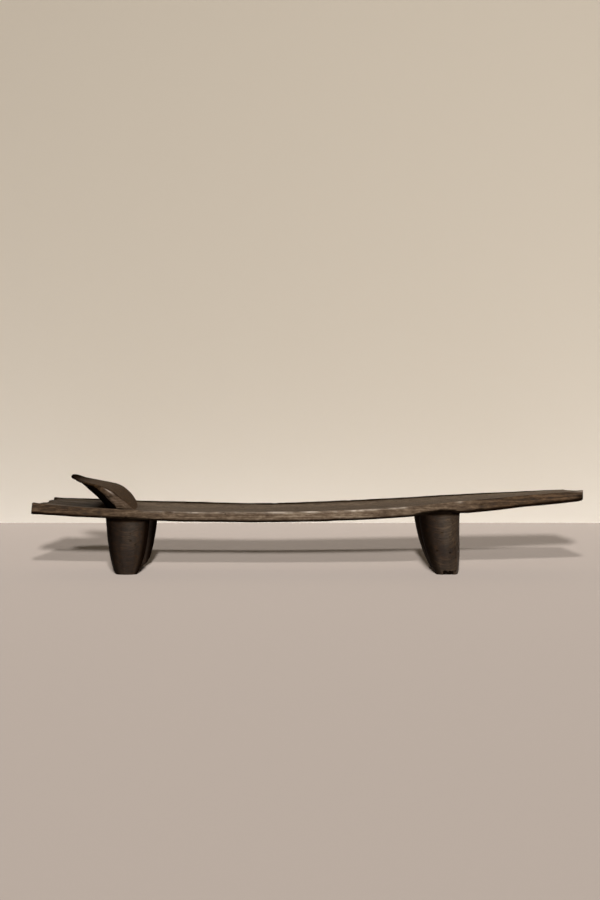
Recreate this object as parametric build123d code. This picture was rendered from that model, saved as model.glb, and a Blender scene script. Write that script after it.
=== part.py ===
from build123d import *
import os

# A low carved daybed in millimetres. +X points to the foot end, -Y to the front, +Z up, and the
# origin lies on the floor under the middle of the bed.

# Overall sizes
LENGTH = 2109
WIDTH = 618
BELLY_HEIGHT = 204          # floor to the lowest stretch of the deck's front edge

# Deck
EDGE_THICKNESS = 40
DISH_DEPTH = 18             # how far the lying surface is hollowed below its rims
RIM_WIDTH = 20              # flat top of each rim
BELLY_BULGE = 9             # how far the underside swells below its edges
SIDE_BULGE = 2              # how far the edge faces swell outwards
HEAD_END_SKEW = 12          # the back corner of the head end stands this much further in

# The deck's run, from the head end to the foot end. Each line is one cross-section:
# share of the length, front rim and back rim above the belly, then the shares of the edge
# thickness, of the dish depth and of the full width that the deck has there.
DECK_SECTIONS = [
    (0.000, 74, 76, 1.02, 0.45, 0.985),
    (0.073, 58, 73, 0.93, 0.70, 0.994),
    (0.168, 46, 64, 0.88, 0.95, 1.000),
    (0.287, 40, 58, 0.91, 1.00, 1.000),
    (0.405, 40, 53, 0.97, 1.00, 1.000),
    (0.476, 41, 57, 0.97, 1.00, 1.000),
    (0.571, 47, 65, 0.97, 1.00, 1.000),
    (0.666, 58, 75, 1.01, 1.00, 0.998),
    (0.756, 78, 86, 1.15, 0.95, 0.995),
    (0.832, 92, 95, 1.18, 0.85, 0.990),
    (0.903, 106, 102, 1.18, 0.65, 0.982),
    (0.967, 117, 109, 1.02, 0.35, 0.970),
    (1.000, 124, 112, 0.80, 0.15, 0.960),
]

# Legs: the pair under the head stands plumb, the pair under the foot end leans outwards
HEAD_LEG_FROM_END = 363
FOOT_LEG_FROM_END = 545
LEG_SIDE_MARGIN = 4         # from the deck's side to the top of the widest leg
HEAD_LEG_TOP_RADIUS = 84
HEAD_LEG_FOOT_RADIUS = 41
FOOT_LEG_TOP_RADIUS = 76
FOOT_LEG_FOOT_RADIUS = 40
FRONT_FOOT_LEG_LEAN = 26
BACK_FOOT_LEG_LEAN = 36
LEAN_CURVE = 1.6            # power by which a leaning leg straightens towards its top
# A leg's full outline: share of its height, and share of the way from its foot's to its top's radius.
# The last entry carries the leg on into the deck, which then cuts its top to fit.
LEG_OUTLINE = [(0, 0), (0.09, 0.22), (0.25, 0.48), (0.42, 0.67), (0.65, 0.83), (1.00, 1.00), (1.15, 1.06)]

# Stub tenons in blind mortises
LEG_TENON_RADIUS = 26
LEG_TENON_LENGTH = 16
HEADREST_TENON_LENGTH = 300
HEADREST_TENON_WIDTH = 26
HEADREST_TENON_HEIGHT = 12
TENON_CLEARANCE = 0.3       # all round
TENON_END_GAP = 1           # between a tenon's end and the bottom of its mortise

# Headrest: its reach is measured from its root, where its upper face rises from the deck
HEADREST_FROM_END = 358
HEADREST_SIDE_MARGIN = 17   # from the deck's side to the headrest's flank
HEADREST_REACH = 235        # root to tip
HEADREST_RISE = 178         # belly to the top of the tip
HEADREST_TIP = 19           # thickness at the tip
HEADREST_TENON_SETBACK = 48 # root to the middle of its tenon

# Share of the reach from the tip, and share of the rise below the tip: the upper sweep, and the
# brim's underside. Both run on into the deck.
HEADREST_SWEEP = [(1.12, 0.75), (1.00, 0.63), (0.90, 0.50), (0.79, 0.36), (0.62, 0.245), (0.39, 0.163),
                  (0.18, 0.09), (0.03, 0)]
HEADREST_BRIM = [(0.19, 0.155), (0.39, 0.235), (0.63, 0.375), (0.72, 0.49), (0.84, 0.64)]
# The neck under the brim, level by level from inside the deck up: share of the rise below the tip,
# then how much of the reach lies between the tip and the neck's shoulders, and between the tip and
# its rounded front.
HEADREST_NECK = [(0.87, 0.86, 0.66), (0.75, 0.84, 0.60), (0.55, 0.80, 0.48), (0.38, 0.72, 0.35),
                 (0.21, 0.63, 0.18), (0, 0.62, 0)]
# The rounded front in plan: share of its length, and share of the half width that it has there
HEADREST_FRONT = [(0, 1), (0.50, 0.78), (0.86, 0.33), (1, 0)]

HALF_LENGTH = LENGTH / 2
HALF_WIDTH = WIDTH / 2


def face_within(*curves):
    """The flat face that a closed chain of curves encloses."""
    return Face(Wire([edge for curve in curves for edge in curve.edges()]))


def deck_section(share, front_rise, back_rise, thickness_share, dish_share, width_share):
    """One cross-section of the deck, closed: side, rim, dish, rim, side and belly."""
    half = HALF_WIDTH * width_share - SIDE_BULGE
    thickness = EDGE_THICKNESS * thickness_share
    front = BELLY_HEIGHT + front_rise
    back = BELLY_HEIGHT + back_rise
    middle = (front + back) / 2

    def at(y, z):
        skew = HEAD_END_SKEW * (y + half) / (half * 2) if share == 0 else 0
        return (LENGTH * share - HALF_LENGTH + skew, y, z)

    rim_front = at(-half, front)
    rim_back = at(half, back)
    dish_front = at(-half + RIM_WIDTH, front)
    dish_back = at(half - RIM_WIDTH, back)
    under_front = at(-half, front - thickness)
    under_back = at(half, back - thickness)
    return face_within(
        ThreePointArc(under_front, at(-half - SIDE_BULGE, front - thickness / 2), rim_front),
        Line(rim_front, dish_front),
        ThreePointArc(dish_front, at(0, middle - DISH_DEPTH * dish_share), dish_back),
        Line(dish_back, rim_back),
        ThreePointArc(rim_back, at(half + SIDE_BULGE, back - thickness / 2), under_back),
        ThreePointArc(under_back, at(0, middle - thickness - BELLY_BULGE), under_front),
    )


def deck_blank():
    """The deck before its mortises are cut."""
    return loft([deck_section(*row) for row in DECK_SECTIONS], ruled=True)


def deck_heights(deck, x, y):
    """The heights at which a plumb line meets the deck: underside first, lying surface last."""
    hits = deck.find_intersection_points(Axis((x, y, 0), (0, 0, 1)))
    return sorted(point.Z for point, _ in hits)


def leg_blank(x, y, top_radius, foot_radius, lean, height):
    """A round leg with full, bulging sides. Its foot is moved by lean towards the foot end."""
    rings = []
    for height_share, radius_share in LEG_OUTLINE:
        shift = lean * max(1 - height_share, 0) ** LEAN_CURVE
        centre = (x + shift, y, height * height_share)
        radius = foot_radius + (top_radius - foot_radius) * radius_share
        rings.append(Plane(origin=centre) * Circle(radius).face())
    return loft(rings)


def make_leg(deck, x, y, top_radius, foot_radius, lean):
    """A leg that fits under the deck, and the mortise for its tenon."""
    underside = deck_heights(deck, x, y)[0]
    blank = leg_blank(x, y, top_radius, foot_radius, lean, underside)
    leg = max((blank - deck).solids(), key=lambda solid: solid.volume)
    root = underside - LEG_TENON_LENGTH
    stub = LEG_TENON_LENGTH * 2
    up = (Align.CENTER, Align.CENTER, Align.MIN)
    tenon = Pos(x, y, root) * Cylinder(LEG_TENON_RADIUS, stub, align=up)
    mortise = Pos(x, y, root) * Cylinder(LEG_TENON_RADIUS + TENON_CLEARANCE, stub + TENON_END_GAP, align=up)
    return leg + tenon, mortise


def headrest_sides(root_x):
    """Two outlines seen from the front: the brim, and all that lies below the upper sweep. Both
    are closed inside the deck."""
    tip_x = root_x - HEADREST_REACH
    tip_top = BELLY_HEIGHT + HEADREST_RISE
    inside_deck = BELLY_HEIGHT + EDGE_THICKNESS / 2

    def on_side(reach_share, drop_share):
        return (tip_x + HEADREST_REACH * reach_share, tip_top - HEADREST_RISE * drop_share)

    upper = Spline(*[on_side(*point) for point in HEADREST_SWEEP])
    front_x = (upper @ 1).X
    sunk_back = ((upper @ 0).X, inside_deck)
    nose = ThreePointArc(upper @ 1, (tip_x, tip_top - HEADREST_TIP / 2), (front_x, tip_top - HEADREST_TIP))
    lower = Spline(nose @ 1, *[on_side(*point) for point in HEADREST_BRIM])
    brim_close = Polyline(lower @ 1, ((lower @ 1).X, inside_deck), sunk_back, upper @ 0)
    below_close = Polyline(upper @ 1, (front_x, inside_deck), sunk_back, upper @ 0)
    return face_within(upper, nose, lower, brim_close), face_within(upper, below_close)


def headrest_plan(root_x, shoulder_share, front_share, height):
    """The headrest's outline from above at one height: a block with a rounded front."""
    half = HALF_WIDTH - HEADREST_SIDE_MARGIN
    tip_x = root_x - HEADREST_REACH
    shoulder_x = tip_x + HEADREST_REACH * shoulder_share
    front_length = HEADREST_REACH * (shoulder_share - front_share)
    back_x = root_x + HEADREST_REACH
    run = [(shoulder_x - front_length * along, half * across) for along, across in HEADREST_FRONT]
    other_run = [(x, -y) for x, y in reversed(run[:-1])]
    front = Spline(*run, *other_run)
    block = Polyline(front @ 1, (back_x, -half), (back_x, half), front @ 0)
    return Pos(0, 0, height) * face_within(front, block)


def make_headrest(deck, root_x):
    """The headrest with its stub tenon, and the mortise for it."""
    tip_top = BELLY_HEIGHT + HEADREST_RISE
    brim_side, below_sweep = [
        extrude(Plane.XZ * side, amount=HALF_WIDTH, both=True) for side in headrest_sides(root_x)]
    top_plan = headrest_plan(root_x, *HEADREST_NECK[-1][1:], BELLY_HEIGHT)
    brim = brim_side & extrude(top_plan, amount=HEADREST_RISE)
    neck = below_sweep & loft([
        headrest_plan(root_x, shoulder, front, tip_top - HEADREST_RISE * drop)
        for drop, shoulder, front in HEADREST_NECK
    ])
    solid = max(((brim + neck) - deck).solids(), key=lambda piece: piece.volume)
    tenon_x = root_x - HEADREST_TENON_SETBACK
    seat = deck_heights(deck, tenon_x, 0)[-1]
    tenon = Pos(tenon_x, 0, seat) * Box(
        HEADREST_TENON_WIDTH, HEADREST_TENON_LENGTH, HEADREST_TENON_HEIGHT * 2)
    mortise = Pos(tenon_x, 0, seat) * Box(
        HEADREST_TENON_WIDTH + TENON_CLEARANCE * 2,
        HEADREST_TENON_LENGTH + TENON_CLEARANCE * 2,
        (HEADREST_TENON_HEIGHT + TENON_END_GAP) * 2)
    return solid + tenon, mortise


def main():
    deck = deck_blank()
    nodes = {}
    cuts = []
    head_x = HEAD_LEG_FROM_END - HALF_LENGTH
    foot_x = HALF_LENGTH - FOOT_LEG_FROM_END
    side_y = HALF_WIDTH - LEG_SIDE_MARGIN - max(HEAD_LEG_TOP_RADIUS, FOOT_LEG_TOP_RADIUS)
    legs = {
        "leg_head_front": (head_x, -side_y, HEAD_LEG_TOP_RADIUS, HEAD_LEG_FOOT_RADIUS, 0),
        "leg_head_back": (head_x, side_y, HEAD_LEG_TOP_RADIUS, HEAD_LEG_FOOT_RADIUS, 0),
        "leg_foot_front": (foot_x, -side_y, FOOT_LEG_TOP_RADIUS, FOOT_LEG_FOOT_RADIUS, FRONT_FOOT_LEG_LEAN),
        "leg_foot_back": (foot_x, side_y, FOOT_LEG_TOP_RADIUS, FOOT_LEG_FOOT_RADIUS, BACK_FOOT_LEG_LEAN),
    }
    for name, sizes in legs.items():
        nodes[name], mortise = make_leg(deck, *sizes)
        cuts.append(mortise)
    nodes["headrest"], mortise = make_headrest(deck, HEADREST_FROM_END - HALF_LENGTH)
    cuts.append(mortise)
    nodes["bed_plank"] = deck - cuts
    os.makedirs("parts", exist_ok=True)
    for name, shape in nodes.items():
        export_step(shape, f"parts/{name}.step")


main()
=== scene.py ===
import itertools
import math

import bmesh
import bpy
import numpy as np
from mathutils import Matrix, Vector


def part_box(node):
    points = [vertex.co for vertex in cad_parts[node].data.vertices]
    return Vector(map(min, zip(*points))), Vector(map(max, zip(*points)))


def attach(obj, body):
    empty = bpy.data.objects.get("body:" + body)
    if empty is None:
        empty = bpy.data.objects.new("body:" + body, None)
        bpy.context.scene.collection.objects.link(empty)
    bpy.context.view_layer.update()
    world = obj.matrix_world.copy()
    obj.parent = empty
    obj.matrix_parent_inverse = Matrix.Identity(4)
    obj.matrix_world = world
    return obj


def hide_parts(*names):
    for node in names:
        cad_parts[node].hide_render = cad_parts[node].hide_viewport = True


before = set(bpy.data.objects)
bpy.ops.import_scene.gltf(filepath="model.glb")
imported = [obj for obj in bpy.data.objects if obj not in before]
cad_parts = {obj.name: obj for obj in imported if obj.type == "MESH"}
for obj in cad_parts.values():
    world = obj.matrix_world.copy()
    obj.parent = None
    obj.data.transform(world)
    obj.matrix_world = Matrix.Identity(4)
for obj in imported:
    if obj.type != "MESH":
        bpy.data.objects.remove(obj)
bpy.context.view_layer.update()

# The daybed is hewn from one log with an adze. Its shapes are worked out here in millimetres, in the
# frame's own axes: +X to the foot end, -Y to the front, +Z up.
MM = 0.001
low, high = [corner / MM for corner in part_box("bed_plank")]
LENGTH = high.x - low.x
WIDTH = high.y - low.y
HEAD_END = low.x
SEED = 7

# Deck
BELLY_HEIGHT = 204  # floor to the lowest stretch of the front's lower edge
EDGE_THICKNESS = 40
DISH_DEPTH = 18
DISH_FULLNESS = 5  # 2 is a plain hollow; more gives a flatter bed with steeper sides
RIM_WIDTH = 20
BELLY_BULGE = 9
SIDE_BULGE = 2
HEAD_END_SKEW = 12  # the back corner of the head end stands this much further in
HEAD_END_LEAN = 4  # and its top arris this much further in than its lower one
HEAD_LEAN_REACH = 60  # how far in from the end that lean dies out

# The deck's lattice of points: their distances from each edge, where they lie close, then their
# spacing along, across and up in between
EDGE_STEPS = [0, 0.9, 2.0, 3.4, 5.2, 7.6, 11, 15.5, 21]
STEPS_UP = 7  # only this many of them go into the thickness
SPACING_ALONG = 6.0
SPACING_ACROSS = 7.6
SPACING_UP = 4.5
ON_FACE = 1e-6  # a point that is no further from a face lies on it

# The deck's run: share of the length, front rim and back rim above the belly, then the shares of
# the edge thickness, of the dish depth and of the full width.
DECK_RUN = [
    (0.000, 76, 79, 1.14, 0.45, 0.985),
    (0.073, 62, 75, 1.05, 0.70, 0.994),
    (0.168, 50, 67, 0.98, 0.95, 1.000),
    (0.287, 41, 61, 1.03, 1.00, 1.000),
    (0.405, 41, 56, 1.08, 1.00, 1.000),
    (0.476, 42, 59, 1.07, 1.00, 1.000),
    (0.571, 47, 67, 1.06, 1.00, 1.000),
    (0.666, 58, 77, 1.06, 1.00, 0.998),
    (0.756, 78, 88, 1.17, 0.95, 0.995),
    (0.800, 86, 93, 1.27, 0.92, 0.992),
    (0.832, 92, 97, 1.26, 0.85, 0.990),
    (0.903, 106, 103, 1.15, 0.65, 0.982),
    (0.967, 117, 109, 1.09, 0.35, 0.970),
    (1.000, 124, 112, 1.04, 0.15, 0.960),
]
TOP_ARRIS = 2.6  # how round hands and cloth have worn each kind of edge
BOTTOM_ARRIS = 4.0
END_ARRIS = 4.5

# Chips out of the top of the rims: centre along X, side (-1 front, 1 back), length, depth
RIM_CHIPS = [(-131, 1, 34, 4.0), (-96, 1, 16, 2.2), (174, 1, 14, 2.0), (798, 1, 40, 2.6), (1040, 1, 18, 4.0)]
RIM_REACH = 26  # how far in from the sides the rims are chipped and worn
RIM_WEAR = 0.7  # how much use has taken off the rims everywhere
# Chips out of the front's lower arris: centre along X, length, depth
LOWER_CHIPS = [(507, 30, 2.0), (655, 56, 3.0), (1046, 30, 3.0), (-330, 90, 1.6), (120, 60, 1.4)]
# The head end has splintered: from front to back, how much is gone from its top
HEAD_BREAK = [(-309, 0), (-240, 1.5), (-122, 1.2), (-22, 2), (118, 6.5), (131, 6.5), (138, 0), (210, 1.5),
              (276, 9), (287, 9), (291, 0), (309, 0)]
HEAD_BREAK_REACH = 34  # how far in from the end it goes
# The front's lower arris is cut up in an arch over the leg under the foot end
ARCH_CENTRE = 490
ARCH_HALF = 80
ARCH_RISE = 9
ARCH_DEPTH = 22
ARCH_SHADE_SPREAD = 2.5  # how far along the underside its painted shade spreads, in halves of its length
ARCH_SHADE_SIDES = (70, 40)  # distances from the front side
ARCH_SHADE_TOP = 12  # painted shade covers the front face up to this height in it
UNWORKED_SHARE = 0.8  # the adze's marks are this much fainter at the very head end
UNWORKED_REACH = 30

# In the pairs that follow, a mark starts at the first value and is full at the second.
# The front's top arris is rubbed pale all along the lying surface, and more so in some stretches; the
# pale is worn wood and in part a painted highlight: from, to, how pale
WEAR_HIGHLIGHT_ALL_ALONG = 0.26
WEAR_HIGHLIGHT_FROM_HEAD = (-680, -560)
WEAR_HIGHLIGHT_FROM_FOOT = (430, 330)
WEAR_HIGHLIGHT_OVERLAP = 0.62  # share of its length at which a stretch has faded out from its middle
WEAR_HIGHLIGHT_BAND = (10, 3)  # distances from the arris
WEAR_HIGHLIGHT_STRETCHES = [(-600, -490, 0.12), (-470, -300, 0.20), (-215, -60, 0.50), (-20, 40, 0.40),
                (60, 270, 0.38), (350, 374, 0.40), (560, 600, 0.20)]
# How far the front face has bleached: place along X, share
BLEACHED = [(-1060, 0.12), (-850, 0.12), (-690, 0.30), (-500, 0.50), (-200, 0.68), (70, 0.95), (300, 0.62),
            (560, 0.40), (780, 0.02), (960, 0.02), (1060, 0.12)]
# How far the top has greyed: everywhere, more in a band by the back wall, and more to the foot end
TOP_GREYED = 0.28
BACK_GREYED = 0.34
BACK_BAND = ((450, 560), (600, 575))  # distances from the front side
FOOT_GREYED = 0.1
FOOT_GREYED_RUN = (300, 900)  # along X
# The foot end is rubbed and split in its front half only: shares of the width from the front
FRONT_HALF = (0.75, 0.25)
FOOT_END_RUBBED = 0.25
FOOT_END_REACH = 70
FOOT_END_SPLIT = (34, 14)  # distances from the foot end
# Dark marks: painted shade below the deck and under its headrest, darker bands in the dish, and a check
LOWER_ARRIS_SHADE = (12, 7)  # distances from the arris
BACK_WALL_DARKENING = ((50, 34), (8, 16))  # distances from the back side
LONG_CHECK = 350  # a check along the bed: its distance from the front side
LONG_CHECK_SWAY = 14
LONG_CHECK_HALF = 7
LONG_CHECK_START = (800, 1000)  # distances from the head end
HEAD_BAY = -790  # painted shade under the headrest's overhang: centre along X
HEAD_BAY_REACH = 130
HEAD_BAY_SIDES = (40, 90)  # distances from both sides
HEAD_FLOOR_DARKENING = (-780, -900)  # along X
HEAD_FLOOR_SIDES = (20, 40)
UNDERSIDE_SHADE = 0.45

# Legs: x, y, top and foot radius, how far the foot leans to the foot end, and how strong its painted sheen is
LEG_SIDE = 221
LEGS = {
    "leg_head_front": (-691.5, -LEG_SIDE, 86.5, 43, -4, 0.40),
    "leg_head_back": (-691.5, LEG_SIDE, 86.5, 43, -4, 0.30),
    "leg_foot_front": (509.5, -LEG_SIDE, 80, 44, 28, 0.70),
    "leg_foot_back": (509.5, LEG_SIDE, 77, 42, 36, 0.30),
}
LEAN_CURVE = 1.6
LEG_OUTLINE = [(0, 0), (0.09, 0.22), (0.25, 0.48), (0.42, 0.67), (0.65, 0.83), (1.00, 1.00), (1.15, 1.06)]
LEG_INTO_DECK = 15  # how far a leg's top runs on into the deck, so that no seam shows
LEG_FLATS = 9  # adze flats round a leg's foot
LEG_FLAT_DEPTH = 0.75  # how flat they are cut: 0 is round, 1 quite flat
LEG_POINTS_AROUND = 160
LEG_FOOT_LEVELS = [0, 0.8, 2.0, 3.6, 5.8, 8.4]
LEG_FIRST_RING = 11  # height of the first of the evenly spaced rings
LEG_RINGS = 84
FOOT_ROUND = 4.0  # how high up a leg's foot is rounded
# A piece is split off the front foot leg's base: centre along X, half its width, height, depth
SPLIT_BASE = (541, 21, 15, 13)
SPLIT_EDGE = 0.7  # share of its width and height up to which it has its full depth
SEAM_SHADE = (14, 3)  # painted shade on a leg's top: distances below the deck
# The back head leg's foot is worn off on the foot side: height, the furthest X that is left
WORN_FOOT = [(0, -676), (2.5, -671), (14, -653), (36, -641), (60, -560)]
# Painted shade darkens the sides turned from the light. They are told by the way a side faces, from -1
# to the head end to 1 to the foot end: how dark, where it starts, where it is full
SHADED_HEAD_SIDE = (0.7, -0.35, -0.85)
SHADED_FOOT_SIDE = (0.9, 0.66, 0.92)  # on the head legs only
# A painted sheen on the front, and dust at the foot: which way the sheen's brightest line faces, how far
# round it reaches, and how dusty the foot is
HEAD_LEG_SHEEN_AND_DUST = (0.17, 0.60, 0.05)
FOOT_LEG_SHEEN_AND_DUST = (0.40, 0.80, 0.50)
SIDE_SHEEN_RISE = (0.35, 0.70)  # shares of the height
FOOT_DUST_FALL = (0.45, 0.05)

# Headrest
HEADREST_ROOT = -696.5  # where its upper face rises from the deck
HEADREST_REACH = 235
HEADREST_TOP = 382.7  # before the adze takes its shallow cuts
HEADREST_RISE = 178
HEADREST_HALF = 292
HEADREST_LIP = 3.5  # how far the round of the tip stands out past the reach
TIP_X = HEADREST_ROOT - HEADREST_REACH
FRONT_BORDER = 130  # how far in from the front flank its own sweep is felt
BRIM_ROUND = 5.5  # how far the brim's round stands out along the flanks
BRIM_ROUND_AT_TIP = 10.0
BRIM_LEAST = 12  # the brim is at least this thick
NECK_BACK = 1.28  # share of the reach where the neck ends, inside the deck
NECK_DEEPEST = 0.95  # share of the rise below the tip where it ends
NECK_IN_DECK = 0.4  # and share of the deck's thickness below which none of it goes
FLARE = 9  # how far the neck flares out where it meets the rims
FLARE_HEIGHT = 20
TIP_DARK_REACH = 100
# How far its skin has bleached: everywhere, and more from here along X
HEADREST_BLEACHED = 0.15
FLANK_BLEACHED = 0.7
FLANK_BLEACHED_RUN = (-820, -750)
# Share of the reach from the tip and share of the rise below the tip: the upper face and its front
# border, which part near the neck, and the lower edge of the brim
TIP_SWEEP = [(0.0, 0.012), (0.03, 0.003), (0.18, 0.088), (0.39, 0.162), (0.56, 0.213), (0.69, 0.272)]
HEADREST_SWEEP = [*TIP_SWEEP, (0.77, 0.328), (0.84, 0.403), (0.91, 0.50), (0.98, 0.635), (1.06, 0.765),
                  (1.16, 0.86), (1.30, 0.94)]
FRONT_SWEEP = [*TIP_SWEEP, (0.80, 0.345), (0.86, 0.415), (0.99, 0.542), (1.05, 0.61), (1.15, 0.73),
               (1.30, 0.90)]
HEADREST_BRIM = [(0.0, 0.112), (0.11, 0.125), (0.32, 0.184), (0.51, 0.272), (0.66, 0.392), (0.775, 0.568),
                 (0.85, 0.655), (1.00, 0.80), (1.30, 0.96)]
# Share of the rise below the tip, then the shares of the reach to the neck's shoulders and front
HEADREST_NECK = [(0, 0.60, 0), (0.154, 0.60, 0.075), (0.32, 0.60, 0.260), (0.42, 0.675, 0.355),
                 (0.55, 0.765, 0.463), (0.65, 0.845, 0.53), (0.78, 0.88, 0.60), (0.95, 0.89, 0.68)]
# The rounded front in plan: share of its length, share of the half width
HEADREST_FRONT = [(0, 1), (0.50, 0.78), (0.86, 0.33), (1, 0)]
# Marks along the front flank, as the turn from straight up in radians, and the run along X: the dark
# crease just under the border, drawn as painted shade, and below it a painted highlight
CREASE = (0.42, 0.26, -722, 70)
HIGHLIGHT_SPOT = (0.92, 0.26, -757, 26)


def smooth(stations, values, at):
    """A smooth line through the stations that never swings past them."""
    x = np.asarray(stations, float)
    y = np.asarray(values, float)
    step = np.diff(x)
    slope = np.diff(y) / step
    before, after = slope[:-1], slope[1:]
    agree = before * after > 0
    tangent = np.concatenate([slope[:1], np.zeros(len(x) - 2), slope[-1:]])
    tangent[1:-1][agree] = 2 * before[agree] * after[agree] / (before + after)[agree]
    cell = np.clip(np.searchsorted(x, at) - 1, 0, len(step) - 1)
    t = (at - x[cell]) / step[cell]
    bend = step[cell] * t * (1 - t) * (tangent[cell] * (1 - t) - tangent[cell + 1] * t)
    return y[cell] * (1 + 2 * t) * (1 - t) ** 2 + y[cell + 1] * t * t * (3 - 2 * t) + bend


def follow(table, at):
    """The smooth line through a table of pairs."""
    return smooth(*zip(*table), at)


KNOTS = 8192  # how many random values a drift draws
KNOT_STRIDES = (1, 157, 2579)  # how far apart neighbours along each run are among them


def drift(seed, *runs):
    """Smooth random values from -1 to 1. Each run is a coordinate and the distance to its next value."""
    knots = np.random.default_rng(seed).uniform(-1, 1, KNOTS)
    cells = [np.floor(coordinate / spacing).astype(int) for coordinate, spacing in runs]
    shares = [coordinate / spacing - cell for (coordinate, spacing), cell in zip(runs, cells)]
    eased = [share * share * (3 - 2 * share) for share in shares]
    total = 0
    for corner in itertools.product((0, 1), repeat=len(runs)):
        index = sum((cell + up) * stride for cell, up, stride in zip(cells, corner, KNOT_STRIDES))
        weight = math.prod(share if up else 1 - share for share, up in zip(eased, corner))
        total = total + knots[index % KNOTS] * weight
    return total


def bump(offset, half_width):
    """1 at no offset, easing to 0 at half_width and beyond."""
    share = np.clip(np.abs(offset) / half_width, 0, 1)
    return (1 - share * share) ** 2


def ease(start, stop, at):
    """0 up to start, easing to 1 at stop."""
    share = np.clip((at - start) / (stop - start), 0, 1)
    return share * share * (3 - 2 * share)


def linear(hex_colour):
    """An sRGB hex value as a linear colour."""
    channels = [int(hex_colour[i:i + 2], 16) / 255 for i in (1, 3, 5)]
    return (*[c / 12.92 if c <= 0.04045 else ((c + 0.055) / 1.055) ** 2.4 for c in channels], 1.0)


def add_node(tree, kind, inputs={}, output=0, stops=(), **settings):
    """Adds a node with its settings, fills or links its inputs, and gives one of its outputs. A colour
    ramp's stops are given from the lowest up."""
    node = tree.nodes.new(kind)
    for key, value in settings.items():
        setattr(node, key, value)
    for key, value in inputs.items():
        if isinstance(value, bpy.types.NodeSocket):
            tree.links.new(value, node.inputs[key])
        else:
            node.inputs[key].default_value = value
    for place, (position, colour) in enumerate(stops):
        if place > 1:
            node.color_ramp.elements.new(position)
        node.color_ramp.elements[place].position = position
        node.color_ramp.elements[place].color = colour
    return node.outputs[output] if node.outputs else node


def empty_tree(owner):
    """The node tree of a material or a lamp, with nothing in it yet."""
    owner.use_nodes = True
    owner.node_tree.nodes.clear()
    return owner.node_tree


def new_object(name, data):
    """An object of the scene that holds a mesh, a lamp or a camera."""
    added = bpy.data.objects.new(name, data)
    bpy.context.scene.collection.objects.link(added)
    return added


# ---------------- adze work

def adzed_surface():
    """The tree that works a surface over with the adze: shallow scallops over a slower swell."""
    tree = bpy.data.node_groups.new("adzed_surface", "GeometryNodeTree")
    sockets = [("Geometry", "Geometry"), ("Stroke size", "Vector"), ("Stroke depth", "Float"),
               ("Swell size", "Float"), ("Swell depth", "Float"), ("Seed", "Float"), ("Finish", "Material")]
    for name, kind in sockets:
        tree.interface.new_socket(name, in_out="INPUT", socket_type="NodeSocket" + kind)
    tree.interface.new_socket("Geometry", in_out="OUTPUT", socket_type="NodeSocketGeometry")
    source = tree.nodes.new("NodeGroupInput").outputs
    place = add_node(tree, "GeometryNodeInputPosition")
    moved = add_node(tree, "ShaderNodeVectorMath", {0: place, 1: source["Seed"]}, operation="ADD")
    in_strokes = add_node(tree, "ShaderNodeVectorMath", {0: moved, 1: source["Stroke size"]},
                          operation="DIVIDE")
    from_centre = add_node(tree, "ShaderNodeTexVoronoi",
                           {"Vector": in_strokes, "Scale": 1.0, "Randomness": 0.85})
    scoop = add_node(tree, "ShaderNodeMath", {0: from_centre, 1: 2.0}, operation="POWER")
    hollow = add_node(tree, "ShaderNodeMath", {0: 1.0, 1: scoop}, operation="SUBTRACT", use_clamp=True)
    stroke = add_node(tree, "ShaderNodeMath", {0: hollow, 1: source["Stroke depth"]}, operation="MULTIPLY")
    swell_scale = add_node(tree, "ShaderNodeMath", {0: 1.0, 1: source["Swell size"]}, operation="DIVIDE")
    swell = add_node(tree, "ShaderNodeTexNoise", {"Vector": moved, "Scale": swell_scale, "Detail": 2.0})
    total = add_node(tree, "ShaderNodeMath", {0: swell, 1: source["Swell depth"], 2: stroke},
                     operation="MULTIPLY_ADD")
    worked = add_node(tree, "GeometryNodeInputNamedAttribute", {"Name": "worked"}, data_type="FLOAT")
    depth = add_node(tree, "ShaderNodeMath", {0: total, 1: worked}, operation="MULTIPLY")
    inward = add_node(tree, "ShaderNodeMath", {0: depth, 1: -1.0}, operation="MULTIPLY")
    normal = add_node(tree, "GeometryNodeInputNormal")
    offset = add_node(tree, "ShaderNodeVectorMath", {0: normal, "Scale": inward}, operation="SCALE")
    cut = add_node(tree, "GeometryNodeSetPosition", {"Geometry": source["Geometry"], "Offset": offset})
    real = add_node(tree, "GeometryNodeRealizeInstances", {"Geometry": cut})
    finished = add_node(tree, "GeometryNodeSetMaterial", {"Geometry": real, "Material": source["Finish"]})
    add_node(tree, "NodeGroupOutput", {"Geometry": finished})
    return tree


ADZED = adzed_surface()


def work_over(piece, **sizes):
    """Runs the adze tree over a piece with the given inputs, and keeps the result as its plain mesh."""
    modifier = piece.modifiers.new("adze", "NODES")
    modifier.node_group = ADZED
    for item in ADZED.interface.items_tree:
        key = item.name.lower().replace(" ", "_")
        if item.in_out == "INPUT" and key in sizes:
            modifier[item.identifier] = sizes[key]
    graph = bpy.context.evaluated_depsgraph_get()
    baked = bpy.data.meshes.new_from_object(piece.evaluated_get(graph), preserve_all_data_layers=True,
                                            depsgraph=graph)
    piece.modifiers.remove(modifier)
    piece.data = baked
    piece.data.name = piece.name
    return piece


def make_piece(name, points, faces, **marks):
    """A closed mesh object from points in millimetres, with its marks as point attributes. Points
    that share a place, to a fiftieth of a millimetre, are joined, and all faces are turned outwards."""
    mesh = bpy.data.meshes.new(name)
    mesh.from_pydata((points * MM).tolist(), [], faces)
    for mark, values in marks.items():
        attribute = mesh.attributes.new(mark, "FLOAT", "POINT")
        attribute.data.foreach_set("value", np.broadcast_to(values, len(points)).astype(np.float32).ravel())
    mesh.polygons.foreach_set("use_smooth", [True] * len(mesh.polygons))
    shape = bmesh.new()
    shape.from_mesh(mesh)
    bmesh.ops.remove_doubles(shape, verts=shape.verts, dist=0.02 * MM)
    bmesh.ops.recalc_face_normals(shape, faces=shape.faces)
    shape.to_mesh(mesh)
    shape.free()
    return new_object(name, mesh)


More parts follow.
